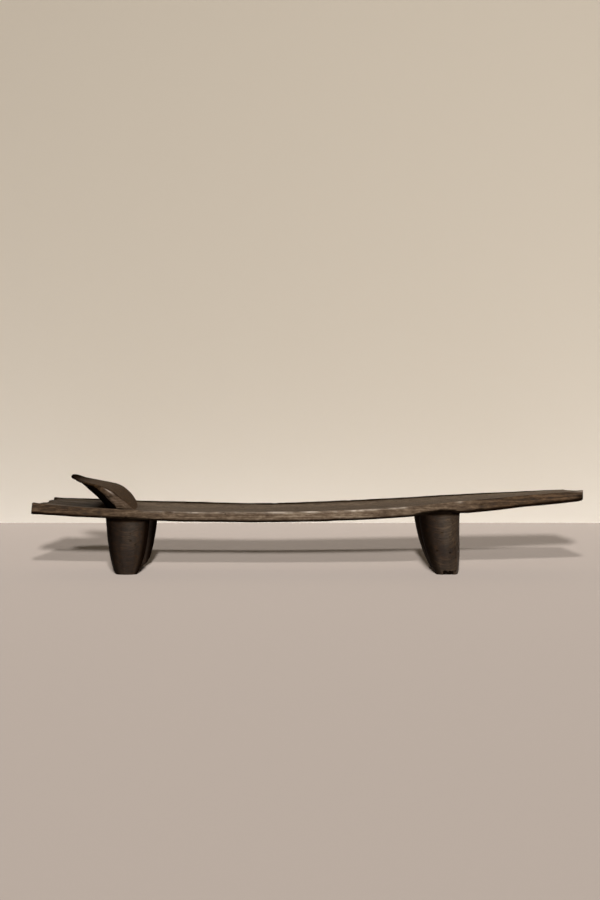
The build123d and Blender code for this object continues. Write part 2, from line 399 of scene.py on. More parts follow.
def grid_faces(rows, columns, start=0, wrap=False, flip=False):
    """Quads over a grid of points that are numbered row by row. A wrapped grid closes on its columns."""
    across = columns if wrap else columns - 1
    row, column = np.meshgrid(np.arange(rows - 1), np.arange(across), indexing="ij")
    beside = (column + 1) % columns
    quads = np.stack([row * columns + column, row * columns + beside,
                      (row + 1) * columns + beside, (row + 1) * columns + column], -1).reshape(-1, 4) + start
    return (quads[:, ::-1] if flip else quads).tolist()


# ---------------- deck

def spread(total, fine, coarse):
    """Distances from 0 to total, fine near both ends and about coarse in between."""
    near = [f for f in fine if f < total / 2]
    inner = total - 2 * near[-1]
    count = max(int(round(inner / coarse)), 1)
    middle = near[-1] + inner * np.arange(1, count) / count
    return np.concatenate([near, middle, [total - f for f in reversed(near)]])


def box_skin(x, y, z):
    """The surface of a block of lattice points: their places, and quads that face outwards."""
    count = (len(x), len(y), len(z))
    sides = []
    for axis in range(3):
        first, second = [a for a in range(3) if a != axis]
        for end in (0, count[axis] - 1):
            a, b = np.meshgrid(np.arange(count[first]), np.arange(count[second]), indexing="ij")
            index = np.zeros((*a.shape, 3), int)
            index[..., first] = a
            index[..., second] = b
            index[..., axis] = end
            sides.append((index, (end > 0) == (axis != 1)))
    flat = np.concatenate([index.reshape(-1, 3) for index, _ in sides])
    unique, number = np.unique(flat, axis=0, return_inverse=True)
    number = number.ravel()
    faces = []
    start = 0
    for index, outward in sides:
        rows, columns = index.shape[:2]
        quads = np.array(grid_faces(rows, columns, start=start, flip=outward))
        faces += number[quads].tolist()
        start += rows * columns
    return np.stack([x[unique[:, 0]], y[unique[:, 1]], z[unique[:, 2]]], -1), faces


def round_arris(from_one, from_other, radius):
    """Moves points that lie near the edge of two faces onto a quarter round. Distances are to each face."""
    on_one = (from_one < ON_FACE) & (from_other < radius)
    on_other = (from_other < ON_FACE) & (from_one < radius)
    turn = np.pi / 4 * (1 - np.where(on_one, from_other, from_one) / radius)
    inset = radius * (1 - np.cos(turn))
    along = radius * (1 - np.sin(turn))
    one = np.where(on_one, inset, np.where(on_other, along, from_one))
    other = np.where(on_other, inset, np.where(on_one, along, from_other))
    both = on_one & on_other
    halfway = radius * (1 - np.sqrt(0.5))
    return np.where(both, halfway, one), np.where(both, halfway, other)


def deck_lines(along):
    """The deck's driving lines at these distances from the head end: the heights of its front and back
    rims, its thickness, its dish's depth and half its width."""
    shares, *lines = zip(*DECK_RUN)
    front, back, thickness, dish, width = [smooth(shares, line, along / LENGTH) for line in lines]
    return (BELLY_HEIGHT + front, BELLY_HEIGHT + back, EDGE_THICKNESS * thickness, DISH_DEPTH * dish,
            WIDTH / 2 * width - SIDE_BULGE)


def deck_point(along, across, up):
    """Bends a flat plank point into the deck: distance from the head end, share across from -1 to 1,
    and share of the thickness from the underside up."""
    front, back, thickness, dish, half = deck_lines(along)
    share = (across + 1) / 2
    rim_line = front * (1 - share) + back * share
    inner = (half - RIM_WIDTH) / half
    hollow = dish * (1 - np.clip(np.abs(across / inner), 0, 1) ** DISH_FULLNESS)
    belly = rim_line - thickness - BELLY_BULGE * (1 - across ** 2)
    top = rim_line - hollow
    from_end = np.clip(1 - along / (LENGTH * DECK_RUN[1][0]), 0, 1)
    skew = HEAD_END_SKEW * share * from_end
    lean = HEAD_END_LEAN * up * bump(along, HEAD_LEAN_REACH)
    side = SIDE_BULGE * (1 - (2 * up - 1) ** 2)
    return np.stack([HEAD_END + along + skew + lean, across * (half + side), belly + (top - belly) * up], -1)


def make_deck(finish):
    """The long dished plank, with worn arrises, chipped rims and adze marks."""
    along = spread(LENGTH, EDGE_STEPS, SPACING_ALONG)
    across = spread(WIDTH, EDGE_STEPS, SPACING_ACROSS)
    height = spread(EDGE_THICKNESS, EDGE_STEPS[:STEPS_UP], SPACING_UP)
    points, faces = box_skin(along, across, height)

    # Distances from the head end, the front side and the underside, and from the nearest edges
    x, y, z = points.T
    ends = np.minimum(x, LENGTH - x)
    sides = np.minimum(y, WIDTH - y)
    top = EDGE_THICKNESS - z
    side = np.where(y < WIDTH / 2, -1, 1)
    rub = 1 + 0.35 * drift(SEED, (x, 90)) + 0.2 * drift(SEED + 1, (x, 23))
    from_face = {"side": sides, "end": ends, "top": top, "low": z}
    moved = {face: [] for face in from_face}
    for one, other, radius in (("side", "top", TOP_ARRIS), ("side", "low", BOTTOM_ARRIS),
                               ("side", "end", END_ARRIS), ("end", "top", END_ARRIS),
                               ("end", "low", END_ARRIS)):
        rounded = round_arris(from_face[one], from_face[other], radius * rub)
        moved[one].append(rounded[0])
        moved[other].append(rounded[1])
    new_sides, new_ends, new_top, new_low = [np.max(places, axis=0) for places in moved.values()]
    up = np.where(top < EDGE_THICKNESS / 2, EDGE_THICKNESS - new_top, new_low) / EDGE_THICKNESS
    along_deck = np.where(x < LENGTH / 2, new_ends, LENGTH - new_ends)
    across_deck = np.where(y < WIDTH / 2, new_sides, WIDTH - new_sides) / WIDTH * 2 - 1
    place_x = HEAD_END + along_deck

    # The arch over the front foot leg and the chips along the lower arris
    cut_up = ARCH_RISE * np.sqrt(np.clip(1 - ((place_x - ARCH_CENTRE) / ARCH_HALF) ** 2, 0, 1))
    for centre, length, depth in LOWER_CHIPS:
        cut_up = cut_up + depth * bump(place_x - centre, length / 2)
    cut_up = cut_up * (side < 0) * (1 - ease(ARCH_DEPTH * 0.7, ARCH_DEPTH * 1.2, sides))
    up = up + (1 - up) * cut_up / EDGE_THICKNESS
    shaped = deck_point(along_deck, across_deck, up)

    # Chips, splits and wear take wood away from the top
    rim = bump(sides, RIM_REACH) * np.clip(up * 3 - 2, 0, 1)
    ragged = 0.75 + 0.25 * drift(SEED + 5, (shaped[:, 0], 5))
    for centre, which, length, depth in RIM_CHIPS:
        shaped[:, 2] -= depth * ragged * bump(shaped[:, 0] - centre, length / 2) * rim * (side == which)
    shaped[:, 2] -= RIM_WEAR * rim * (1 + drift(SEED + 8, (shaped[:, 0], 47), (y, 200)))
    gone = np.interp(shaped[:, 1], *zip(*HEAD_BREAK))
    reach = HEAD_BREAK_REACH * (1 + 0.5 * drift(SEED + 21, (y, 17)))
    broken = np.clip(up * 4 - 3, 0, 1) * (1 - ease(reach * 0.5, reach, x))
    shaped[:, 2] -= gone * broken

    # Pale rubbed stretches, a painted highlight, dirt and painted shade, and the sun's bleaching of the wood
    shaped_x = shaped[:, 0]
    front_arris = ease(*WEAR_HIGHLIGHT_BAND, np.hypot(sides, top)) * (side < 0)
    pale = WEAR_HIGHLIGHT_ALL_ALONG * ease(*WEAR_HIGHLIGHT_FROM_HEAD, shaped_x) * ease(*WEAR_HIGHLIGHT_FROM_FOOT, shaped_x)
    for start, stop, strength in WEAR_HIGHLIGHT_STRETCHES:
        pale = pale + strength * bump(shaped_x - (start + stop) / 2, (stop - start) * WEAR_HIGHLIGHT_OVERLAP)
    # The front's top arris: pale wear, and in part a painted highlight
    worn = np.clip(front_arris * pale * (0.9 + 0.6 * drift(SEED + 11, (x, 14))), 0, 1)
    front_half = ease(*FRONT_HALF, y / WIDTH)
    foot_end = FOOT_END_RUBBED * bump(LENGTH - x, FOOT_END_REACH) * front_half * ease(0.5, 0.9, up)
    worn = np.maximum(worn, foot_end)
    on_top = (top < ON_FACE) & (sides > ON_FACE)
    # Painted shade along the lower arrises
    below = ease(*LOWER_ARRIS_SHADE, np.hypot(sides, z))
    # Darker along the dish's back wall
    from_dish, from_rim = BACK_WALL_DARKENING
    inner_wall = on_top * (side > 0) * ease(*from_dish, sides) * ease(*from_rim, sides)
    inner_wall = inner_wall * (0.85 + 0.15 * drift(SEED + 43, (x, 60)))
    off_check = y - LONG_CHECK - LONG_CHECK_SWAY * drift(SEED + 41, (x, 160))
    long_check = on_top * bump(off_check, LONG_CHECK_HALF) * ease(*LONG_CHECK_START, x) * 0.8
    # Painted shade under the headrest's overhang
    head_bay = on_top * bump(shaped_x - HEAD_BAY, HEAD_BAY_REACH) * ease(*HEAD_BAY_SIDES, sides)
    # Darker, in patches, over the head end of the dish
    patchy = 0.4 + 0.35 * drift(SEED + 45, (x, 70), (y, 50))
    head_floor = on_top * ease(*HEAD_FLOOR_DARKENING, shaped_x) * ease(*HEAD_FLOOR_SIDES, sides) * patchy
    # Painted shade on the underside, deepest by the arch, and in the arch's recess
    along_arch = bump(place_x - ARCH_CENTRE, ARCH_SHADE_SPREAD * ARCH_HALF)
    by_arch = along_arch * ease(*ARCH_SHADE_SIDES, sides) * (side < 0)
    underneath = (z < ON_FACE) * np.maximum(UNDERSIDE_SHADE, np.clip(by_arch * 2, 0, 1))
    in_arch = np.clip(cut_up / 4, 0, 1) * (z < ARCH_SHADE_TOP) * ((sides > ON_FACE) | (z < ON_FACE))
    tip_split = ease(*FOOT_END_SPLIT, LENGTH - x) * ease(0.75, 0.3, up) * front_half * 0.8
    splintered = 0.8 * broken * gone / 9
    grime = np.max([below, inner_wall, long_check, head_bay, head_floor, underneath, in_arch, tip_split,
                    splintered], axis=0)
    to_band, from_back = BACK_BAND
    by_wall = BACK_GREYED * ease(*to_band, y) * ease(*from_back, y)
    greyed = TOP_GREYED + by_wall + FOOT_GREYED * ease(*FOOT_GREYED_RUN, shaped_x)
    bleached = np.where(on_top, greyed, follow(BLEACHED, shaped_x))
    worked = 1 - UNWORKED_SHARE * bump(x, UNWORKED_REACH)
    piece = make_piece("carved_deck", shaped, faces, worked=worked, worn=worn, grime=grime, bleached=bleached)
    return work_over(piece, stroke_size=(0.060, 0.032, 0.032), stroke_depth=0.0011, swell_size=0.22,
                     swell_depth=0.0012, seed=1.3, finish=finish)


# ---------------- legs

def underside_height(x, y):
    """Where the deck's underside is above this spot of the floor."""
    along = np.array([x - HEAD_END])
    half = deck_lines(along)[4]
    return float(deck_point(along, y / half, np.array([0.0]))[0, 2])


def close_ring(ring, centre_share=(0.9, 0.6, 0.3)):
    """Rings that shrink to a ring's middle, and the middle itself."""
    centre = ring.mean(0)
    return [centre + (ring - centre) * share for share in centre_share], centre[None]


def make_leg(name, x, y, top_radius, foot_radius, lean, side_sheen, seed, finish):
    """A round, full-sided leg: rings from the foot up, with adze flats round its foot."""
    height = underside_height(x, y)
    top = height + LEG_INTO_DECK
    around = np.arange(LEG_POINTS_AROUND) * 2 * np.pi / LEG_POINTS_AROUND
    levels = np.concatenate([LEG_FOOT_LEVELS, np.linspace(LEG_FIRST_RING, top, LEG_RINGS)])
    turn, level = np.meshgrid(around, levels)
    share = level / height
    radius = foot_radius + (top_radius - foot_radius) * follow(LEG_OUTLINE, share)
    flat_turn = 2 * np.pi / LEG_FLATS
    phase = (turn + 0.5 * seed + 0.35 * share) % flat_turn - flat_turn / 2
    flats = np.cos(flat_turn / 2) / np.cos(phase)
    radius = radius * (1 - ease(0.75, 0.05, share) * LEG_FLAT_DEPTH * (1 - flats))
    radius = radius * (1 + 0.012 * drift(SEED + int(seed), (np.cos(turn) * 100, 70), (level, 90)))
    radius = radius - FOOT_ROUND * 0.6 * np.clip(1 - level / FOOT_ROUND, 0, 1) ** 2
    shift = lean * np.clip(1 - share, 0, 1) ** LEAN_CURVE
    rings = np.stack([x + shift + radius * np.cos(turn), y + radius * np.sin(turn), level], -1)
    split = np.zeros_like(level)
    if name == "leg_foot_front":
        centre, half, high_up, depth = SPLIT_BASE
        ragged = 1 + 0.25 * drift(SEED + 31, (rings[..., 0], 6))
        split = ease(half * ragged, half * SPLIT_EDGE * ragged, np.abs(rings[..., 0] - centre))
        split = split * ease(high_up * ragged, high_up * SPLIT_EDGE * ragged, level) * (rings[..., 1] < y)
        rings[..., 1] += depth * split
    if name == "leg_head_back":
        limit = np.interp(level, *zip(*WORN_FOOT))
        rings[..., 0] = np.minimum(rings[..., 0], limit + 1.5 * drift(SEED + 33, (rings[..., 1], 9)))
    foot_rings, foot_middle = close_ring(rings[0])
    top_rings, top_middle = close_ring(rings[-1])
    rows = [*reversed(foot_rings), *rings, *top_rings]
    points = np.concatenate([foot_middle, *rows, top_middle])
    faces = grid_faces(len(rows), len(around), start=1, wrap=True)
    last = len(points) - 1
    for i in range(len(around)):
        j = (i + 1) % len(around)
        faces.append([0, 1 + j, 1 + i])
        faces.append([last, last - len(around) + i, last - len(around) + j])

    # Painted shade under the deck and on the unlit sides, darker split, a painted sheen, dust at the foot
    closing = np.zeros(1 + len(foot_rings) * len(around))
    split_marks = np.concatenate([closing, split.ravel(), closing])
    seam = height + (ARCH_RISE - 2 if name == "leg_foot_front" else 0)
    shade_start, shade_full = SEAM_SHADE
    # Painted shade on the leg's top under the deck
    under_deck = ease(seam - shade_start, seam - shade_full, points[:, 2])
    facing = np.concatenate([closing, np.tile(np.cos(around), len(levels)), closing])
    up = points[:, 2] / height
    at_head = name.startswith("leg_head")
    # Painted shade on the sides turned from the light
    shaded_sides = [SHADED_HEAD_SIDE, SHADED_FOOT_SIDE] if at_head else [SHADED_HEAD_SIDE]
    painted_shade = np.max([black * ease(start, full, facing) for black, start, full in shaded_sides], axis=0)
    sheen_line, sheen_reach, foot_dust = HEAD_LEG_SHEEN_AND_DUST if at_head else FOOT_LEG_SHEEN_AND_DUST
    # A painted sheen down the front of the leg
    painted_sheen = bump(facing - sheen_line, sheen_reach) * ease(*SIDE_SHEEN_RISE, up) * side_sheen
    low_down = foot_dust * ease(*FOOT_DUST_FALL, up)
    grime = np.max([under_deck, split_marks, painted_shade], axis=0)
    piece = make_piece("carved_" + name, points, faces, worked=ease(0, 6, points[:, 2]), worn=0.0,
                       grime=grime, bleached=np.maximum(low_down, painted_sheen))
    return work_over(piece, stroke_size=(0.022, 0.022, 0.055), stroke_depth=0.0011, swell_size=0.12,
                     swell_depth=0.0015, seed=seed, finish=finish)


# ---------------- headrest

def upper_face(x, y):
    """The height of the headrest's upper face. Its front border runs on more gently into the rim."""
    at = (x - TIP_X) / HEADREST_REACH
    near_front = bump(y + HEADREST_HALF, FRONT_BORDER)
    drop = follow(HEADREST_SWEEP, at) * (1 - near_front) + follow(FRONT_SWEEP, at) * near_front
    return HEADREST_TOP - HEADREST_RISE * drop


def neck_plan(drop, along, across, beside):
    """Where the outline's points lie in plan at these drops below the tip. Beside is the share of the
    way from the back end to the shoulder, and along the share from there to the front."""
    drops, shoulders, fronts = zip(*HEADREST_NECK)
    shoulder, front = [TIP_X + HEADREST_REACH * smooth(drops, line, drop) for line in (shoulders, fronts)]
    back = TIP_X + HEADREST_REACH * NECK_BACK
    x = back + (shoulder - back) * beside + (front - shoulder) * along
    return x, across * HEADREST_HALF


def keep_in_deck(points):
    """Lifts points that would come out below the deck to a little under the middle of its thickness."""
    along = points[:, 0] - HEAD_END
    half = deck_lines(along)[4]
    across = np.clip(points[:, 1] / half, -1, 1)
    floor = deck_point(along, across, np.full(len(along), NECK_IN_DECK))[:, 2]
    points[:, 2] = np.maximum(points[:, 2], floor)


def make_headrest(finish):
    """The tongue that carries the head: a swept upper face, a rounded flank and a neck below."""
    side_count, front_count, brim_rows, neck_rows = 56, 84, 24, 40
    turn = np.linspace(0, np.pi / 2, front_count)[1:]
    alongs, widths = zip(*HEADREST_FRONT)
    along_front = smooth(widths[::-1], alongs[::-1], np.cos(turn))
    beside = np.concatenate([np.linspace(0, 1, side_count), np.ones(front_count - 1)])
    along = np.concatenate([np.zeros(side_count), along_front])
    across = np.concatenate([-np.ones(side_count), -np.cos(turn)])
    beside, along, across = [np.concatenate([part, sign * part[-2::-1]]) for part, sign in
                             ((beside, 1), (along, 1), (across, -1))]
    ring_x, ring_y = neck_plan(np.zeros_like(along), along, across, beside)
    outward = np.stack([-np.gradient(ring_y), np.gradient(ring_x)], -1)
    outward /= np.linalg.norm(outward, axis=1)[:, None]
    at_front = ease(0.0, 0.25, along)
    round_over = BRIM_ROUND + (BRIM_ROUND_AT_TIP - BRIM_ROUND) * ease(0.5, 1.0, along)
    ring_x = ring_x - outward[:, 0] * (round_over - HEADREST_LIP * at_front)
    ring_y = ring_y - outward[:, 1] * round_over
    crest = upper_face(ring_x, ring_y)
    lower = HEADREST_TOP - HEADREST_RISE * follow(HEADREST_BRIM, (ring_x - TIP_X) / HEADREST_REACH)
    lower = np.minimum(lower, crest - BRIM_LEAST)

    # The brim's round, from the upper face over and under; the straight flanks run on down flush
    rows = []
    painted_shade_rows = []
    highlight_rows = []
    for angle in np.linspace(0, np.pi, brim_rows):
        back_in = np.sin(angle) if angle < np.pi / 2 else at_front * np.sin(angle) + 1 - at_front
        push = round_over * back_in
        height = (crest + lower) / 2 + (crest - lower) / 2 * np.cos(angle)
        rows.append(np.stack([ring_x + outward[:, 0] * push, ring_y + outward[:, 1] * push, height], -1))
        # The crease's dark line is painted shade; the spot below it is a painted highlight
        marks = [bump(angle - turned, wide) * bump(ring_x - centre, reach) * (ring_y < 0)
                 for turned, wide, centre, reach in (CREASE, HIGHLIGHT_SPOT)]
        # Painted shade under the brim's round at the front, and along the crease
        painted_shade_rows.append(np.maximum(at_front * ease(np.pi * 0.30, np.pi * 0.80, angle), marks[0]))
        highlight_rows.append(marks[1])

    # The neck below, which flares out where it meets the rims
    drop_low = (HEADREST_TOP - lower) / HEADREST_RISE
    rim = deck_lines(ring_x - HEAD_END)[0]
    for step in range(1, neck_rows + 1):
        share = step / neck_rows
        drop = drop_low + (NECK_DEEPEST - drop_low) * share
        x, y = neck_plan(drop, along, across, beside)
        height = HEADREST_TOP - HEADREST_RISE * drop
        above_rim = (height - rim) / FLARE_HEIGHT
        foot = np.where(above_rim > -0.05, np.clip(1 - above_rim, 0, 1) ** 2, 0)
        flare = FLARE * foot * ease(0.55, 0.8, beside) * (along <= 0)
        tuck = round_over * at_front * bump(share, 0.3)
        x = x - outward[:, 0] * tuck
        y = y - outward[:, 1] * tuck + np.sign(y) * flare
        rows.append(np.stack([x, y, height], -1))
        # Painted shade over the front of the neck
        painted_shade_rows.append(np.clip(at_front * 3, 0, 1))
        highlight_rows.append(np.zeros(len(along)))
    ring_count = len(along)
    faces = grid_faces(len(rows), ring_count)
    skirt = np.concatenate(rows)

    # The upper face: columns from the outline straight back into the deck
    half = slice(side_count - 1, ring_count - side_count + 1)
    column_x, column_y = rows[0][half, 0], rows[0][half, 1]
    shares = np.linspace(0, 1, side_count)[:, None]
    upper_x = column_x + (rows[0][0, 0] - column_x) * shares
    upper_y = np.broadcast_to(column_y, upper_x.shape)
    upper = np.stack([upper_x, upper_y, upper_face(upper_x, upper_y)], -1).reshape(-1, 3)
    start, columns = len(skirt), len(column_x)
    faces += grid_faces(side_count, columns, start=start, flip=True)
    points = np.concatenate([skirt, upper])
    keep_in_deck(points)

    # The bottom and the back are inside the deck: one face closes each
    faces.append([len(skirt) - 1 - i for i in range(ring_count)])
    down_front = [row * ring_count for row in range(len(rows))]
    down_back = [row * ring_count + ring_count - 1 for row in range(len(rows))]
    back_edge = [start + (side_count - 1) * columns + i for i in range(columns)]
    faces.append([*down_front, *reversed(down_back), *reversed(back_edge)])

    above = np.zeros(len(upper))
    # Darker towards the tip
    tip = bump(points[:, 0] - TIP_X, TIP_DARK_REACH)
    grime = np.maximum(np.concatenate([*painted_shade_rows, above]), tip)
    # A painted highlight on the front flank
    rubbed_and_highlight = np.concatenate([*highlight_rows, above])
    flank = HEADREST_BLEACHED + FLANK_BLEACHED * ease(*FLANK_BLEACHED_RUN, skirt[:, 0])
    bleached = np.concatenate([flank, above + HEADREST_BLEACHED])
    piece = make_piece("carved_headrest", points, faces, worked=1.0, worn=rubbed_and_highlight, grime=grime,
                       bleached=bleached)
    return work_over(piece, stroke_size=(0.05, 0.03, 0.03), stroke_depth=0.0004, swell_size=0.14,
                     swell_depth=0.0007, seed=4.1, finish=finish)


# ---------------- materials

FACTOR, FIRST, SECOND = 0, 6, 7  # a colour mix's inputs
TO_HEART = (0, 0.04, 0.11)  # metres from the log's heart, in front of the X axis and below it
RING_SPACING = 5.5
RING_SWAY = 0.030  # metres
TONES = (0.40, 0.50, 0.60)  # where the three tones of a colour lie in the figure
# The near-black of dirt and of painted shade
DIRT_AND_SHADE = "#0b0705"
DIRT_AND_SHADE_COVER = 0.93  # how much of the wood is hidden where dirt and painted shade are full


def every(x, y, z=None):
    """The scale at which a pattern comes round every so many millimetres along each axis. What holds
    across the bed also holds upwards, unless that is given."""
    return (1000 / x, 1000 / y, 1000 / (z or y))


def patina_wood(name, brown, bleached, rubbed_and_highlight, roughness, gloss, relief, mottle, grain_across=(7, 9)):
    """A dense African hardwood, hewn along the log and blackened by smoke, oil and hands. The eye gets
    long wavering growth lines, short dark pores, hairline checks and a satin that breaks up with the
    handling; it turns pale where worn and in painted highlights, grey-brown where the light has bleached it
    and in the legs' painted sheen, and near-black in its dirt and in painted shade."""
    material = bpy.data.materials.new(name)
    tree = empty_tree(material)
    place = add_node(tree, "ShaderNodeTexCoord", output="Object")

    # Noise for the sway of the growth rings, the streaks, the mottling, the fibre and the checks: how
    # often it comes round, its detail and its roughness
    sway, streaks, blotches, fibre, check_field = [
        add_node(tree, "ShaderNodeTexNoise", {
            "Vector": add_node(tree, "ShaderNodeMapping", {"Vector": place, "Scale": every(*period)}),
            "Scale": 1.0, "Detail": detail, "Roughness": rough})
        for period, detail, rough in (((420, 70), 2.0, 0.5), ((120, *grain_across), 5.0, 0.62),
                                      ((28, 11), 6.0, 0.66), ((26, 1.6), 2.0, 0.5), ((620, 34), 3.0, 0.5))]

    # Growth rings: distance from the log's heart, which lies under the plank, bent by slow drifts
    heart = add_node(tree, "ShaderNodeMapping", {"Vector": place, "Location": TO_HEART,
                                                 "Scale": (0.0, 1.0, 1.0)})
    from_heart = add_node(tree, "ShaderNodeVectorMath", {0: heart}, output=1, operation="LENGTH")
    swayed = add_node(tree, "ShaderNodeMath", {0: sway, 1: RING_SWAY, 2: from_heart},
                      operation="MULTIPLY_ADD")
    ring_number = add_node(tree, "ShaderNodeMath", {0: swayed, 1: 1000 / RING_SPACING},
                           operation="MULTIPLY")
    rings = add_node(tree, "ShaderNodeTexNoise", {"W": ring_number, "Scale": 1.0, "Detail": 2.0},
                     noise_dimensions="1D")

    # Pores and pits: how often they come, how far out they are dark, and where they end. Real pores are
    # hair-thin; they are drawn 2 mm wide so that they still show across a room.
    pores, pits = [
        add_node(tree, "ShaderNodeMapRange", {
            "Value": add_node(tree, "ShaderNodeTexVoronoi", {
                "Vector": add_node(tree, "ShaderNodeMapping", {"Vector": place, "Scale": every(*period)}),
                "Scale": 1.0}),
            "From Min": dark, "From Max": edge, "To Min": 1.0, "To Max": 0.0})
        for period, dark, edge in (((34, 4.4), 0.10, 0.32), ((52, 36), 0.05, 0.16))]

    # Hairline checks, where the noise crosses its middle
    from_check = add_node(tree, "ShaderNodeMath", {0: check_field, 1: 0.5}, operation="SUBTRACT")
    check_gap = add_node(tree, "ShaderNodeMath", {0: from_check}, operation="ABSOLUTE")
    check_line = add_node(tree, "ShaderNodeMapRange", {"Value": check_gap, "From Max": 0.012,
                                                       "To Min": 1.0, "To Max": 0.0})
    check_here = add_node(tree, "ShaderNodeMapRange", {"Value": blotches, "From Min": 0.50, "From Max": 0.58})
    checks = add_node(tree, "ShaderNodeMath", {0: check_line, 1: check_here}, operation="MULTIPLY")

    # Colour
    lines = add_node(tree, "ShaderNodeMix", {FACTOR: 0.38, 2: streaks, 3: rings}, data_type="FLOAT")
    figure = add_node(tree, "ShaderNodeMix", {FACTOR: mottle, 2: lines, 3: blotches}, data_type="FLOAT")
    oiled, bleached_and_sheen_tone = [
        add_node(tree, "ShaderNodeValToRGB", {"Fac": figure}, stops=zip(TONES, map(linear, colours)))
        for colours in (brown, bleached)]
    bleach_and_sheen_share, worn, grime = [
        add_node(tree, "ShaderNodeAttribute", output=2, attribute_name=mark)
        for mark in ("bleached", "worn", "grime")]
    # Pale wear, and painted highlights, broken up in patches
    worn_patch = add_node(tree, "ShaderNodeMapRange", {"Value": streaks, "From Min": 0.38, "From Max": 0.56})
    worn_through = add_node(tree, "ShaderNodeMath", {0: worn, 1: worn_patch}, operation="MULTIPLY")
    pore_dark, pit_dark, check_dark = [
        add_node(tree, "ShaderNodeMath", {0: mark, 1: darkness}, operation="MULTIPLY")
        for mark, darkness in ((pores, 0.30), (pits, 0.55), (checks, 0.75))]
    dark_dots = add_node(tree, "ShaderNodeMath", {0: pore_dark, 1: pit_dark}, operation="MAXIMUM")
    dark_marks = add_node(tree, "ShaderNodeMath", {0: dark_dots, 1: check_dark}, operation="MAXIMUM")
    darkening = add_node(tree, "ShaderNodeMath", {0: dark_marks, 1: grime}, operation="MAXIMUM", use_clamp=True)
    darkening_share = add_node(tree, "ShaderNodeMath", {0: darkening, 1: DIRT_AND_SHADE_COVER}, operation="MULTIPLY")
    # Over the oiled wood: bleaching and painted sheen, wear and painted highlights, dirt and painted shade
    colour = oiled
    for share, over in ((bleach_and_sheen_share, bleached_and_sheen_tone), (worn_through, linear(rubbed_and_highlight)), (darkening_share, linear(DIRT_AND_SHADE))):
        colour = add_node(tree, "ShaderNodeMix", {FACTOR: share, FIRST: colour, SECOND: over}, output=2,
                          data_type="RGBA")

    # Satin where hands have been, duller in dirt and painted shade, and the relief of fibre, pits and checks
    satin = add_node(tree, "ShaderNodeMapRange", {"Value": blotches, "From Min": 0.35, "From Max": 0.65,
                                                  "To Min": roughness - 0.07, "To Max": roughness + 0.10})
    rubbed_satin = add_node(tree, "ShaderNodeMath", {0: worn_through, 1: -0.35, 2: satin},
                            operation="MULTIPLY_ADD")
    dulled = add_node(tree, "ShaderNodeMath", {0: darkening, 1: 0.35, 2: rubbed_satin}, operation="MULTIPLY_ADD",
                      use_clamp=True)
    fine = add_node(tree, "ShaderNodeMath", {0: fibre, 1: 0.5, 2: figure}, operation="MULTIPLY_ADD")
    marked = add_node(tree, "ShaderNodeMath", {0: dark_marks, 1: -1.2, 2: fine}, operation="MULTIPLY_ADD")
    grain_relief = add_node(tree, "ShaderNodeBump", {"Strength": 1.0, "Distance": relief * MM,
                                                     "Height": marked})
    polish_left = add_node(tree, "ShaderNodeMapRange", {"Value": darkening, "From Max": 0.85, "To Min": gloss,
                                                        "To Max": 0.0})
    surface = add_node(tree, "ShaderNodeBsdfPrincipled", {
        "Base Color": colour, "Roughness": dulled, "Normal": grain_relief, "IOR": 1.46,
        "Specular IOR Level": polish_left})
    add_node(tree, "ShaderNodeOutputMaterial", {"Surface": surface})
    return material


def matt_surface(name, hex_colour, roughness):
    """A plain matt coat for the room. It is clear from behind, so that the bed is seen from there too."""
    material = bpy.data.materials.new(name)
    tree = empty_tree(material)
    coat = add_node(tree, "ShaderNodeBsdfPrincipled", {
        "Base Color": linear(hex_colour), "Roughness": roughness, "Specular IOR Level": 0.1})
    clear = add_node(tree, "ShaderNodeBsdfTransparent")
    behind = add_node(tree, "ShaderNodeNewGeometry", output=6)
    surface = add_node(tree, "ShaderNodeMixShader", {0: behind, 1: coat, 2: clear})
    add_node(tree, "ShaderNodeOutputMaterial", {"Surface": surface})
    return material


# ---------------- room, lamps and camera

# Metres
WALL_Y = 4.6
WALL_RISE = 9
ROOM = 40.0
BED_MIDDLE = (0, 0, 0.25)
# The lamps that draw the bed's shadows on the floor: name, place, strength
FLOOR_LAMPS = [("high_lamp", (-0.02, -8.26, 2.16), 18.8), ("low_lamp", (-0.05, -9.30, 1.39), 42.4)]
CAMERA_PLACE = (-0.0277, -7.930, 0.5136)
CAMERA_DIP = 0.26  # degrees below level


def stage_plane(name, corners, material):
    """A flat sheet of the room, which isn't part of the bed."""
    mesh = bpy.data.meshes.new(name)
    mesh.from_pydata(corners, [], [[0, 1, 2, 3]])
    mesh.materials.append(material)
    sheet = new_object(name, mesh)
    return sheet


def make_room():
    """A floor and a pale wall behind the bed. The floor's colour is darker than it looks, because its
    lamps are strong; a paler one would let light from the wall fill the shadows."""
    floor = stage_plane("floor", [(-ROOM, -ROOM, 0), (ROOM, -ROOM, 0), (ROOM, ROOM, 0), (-ROOM, ROOM, 0)],
                        matt_surface("matt_screed", "#807467", 0.8))
    wall = stage_plane("backdrop", [(-ROOM, WALL_Y, -WALL_RISE), (ROOM, WALL_Y, -WALL_RISE),
                                    (ROOM, WALL_Y, WALL_RISE), (-ROOM, WALL_Y, WALL_RISE)],
                       matt_surface("matt_plaster", "#f0ebe0", 0.9))
    return floor, wall


def light_evenly(lamp):
    """Makes up for a lamp's distance and slant, so that it lights all of a level floor alike."""
    tree = empty_tree(lamp)
    distance = add_node(tree, "ShaderNodeLightPath", output="Ray Length")
    level = add_node(tree, "ShaderNodeLightFalloff", {"Strength": distance}, output="Constant")
    light = add_node(tree, "ShaderNodeEmission", {"Strength": level})
    add_node(tree, "ShaderNodeOutputLight", {0: light})


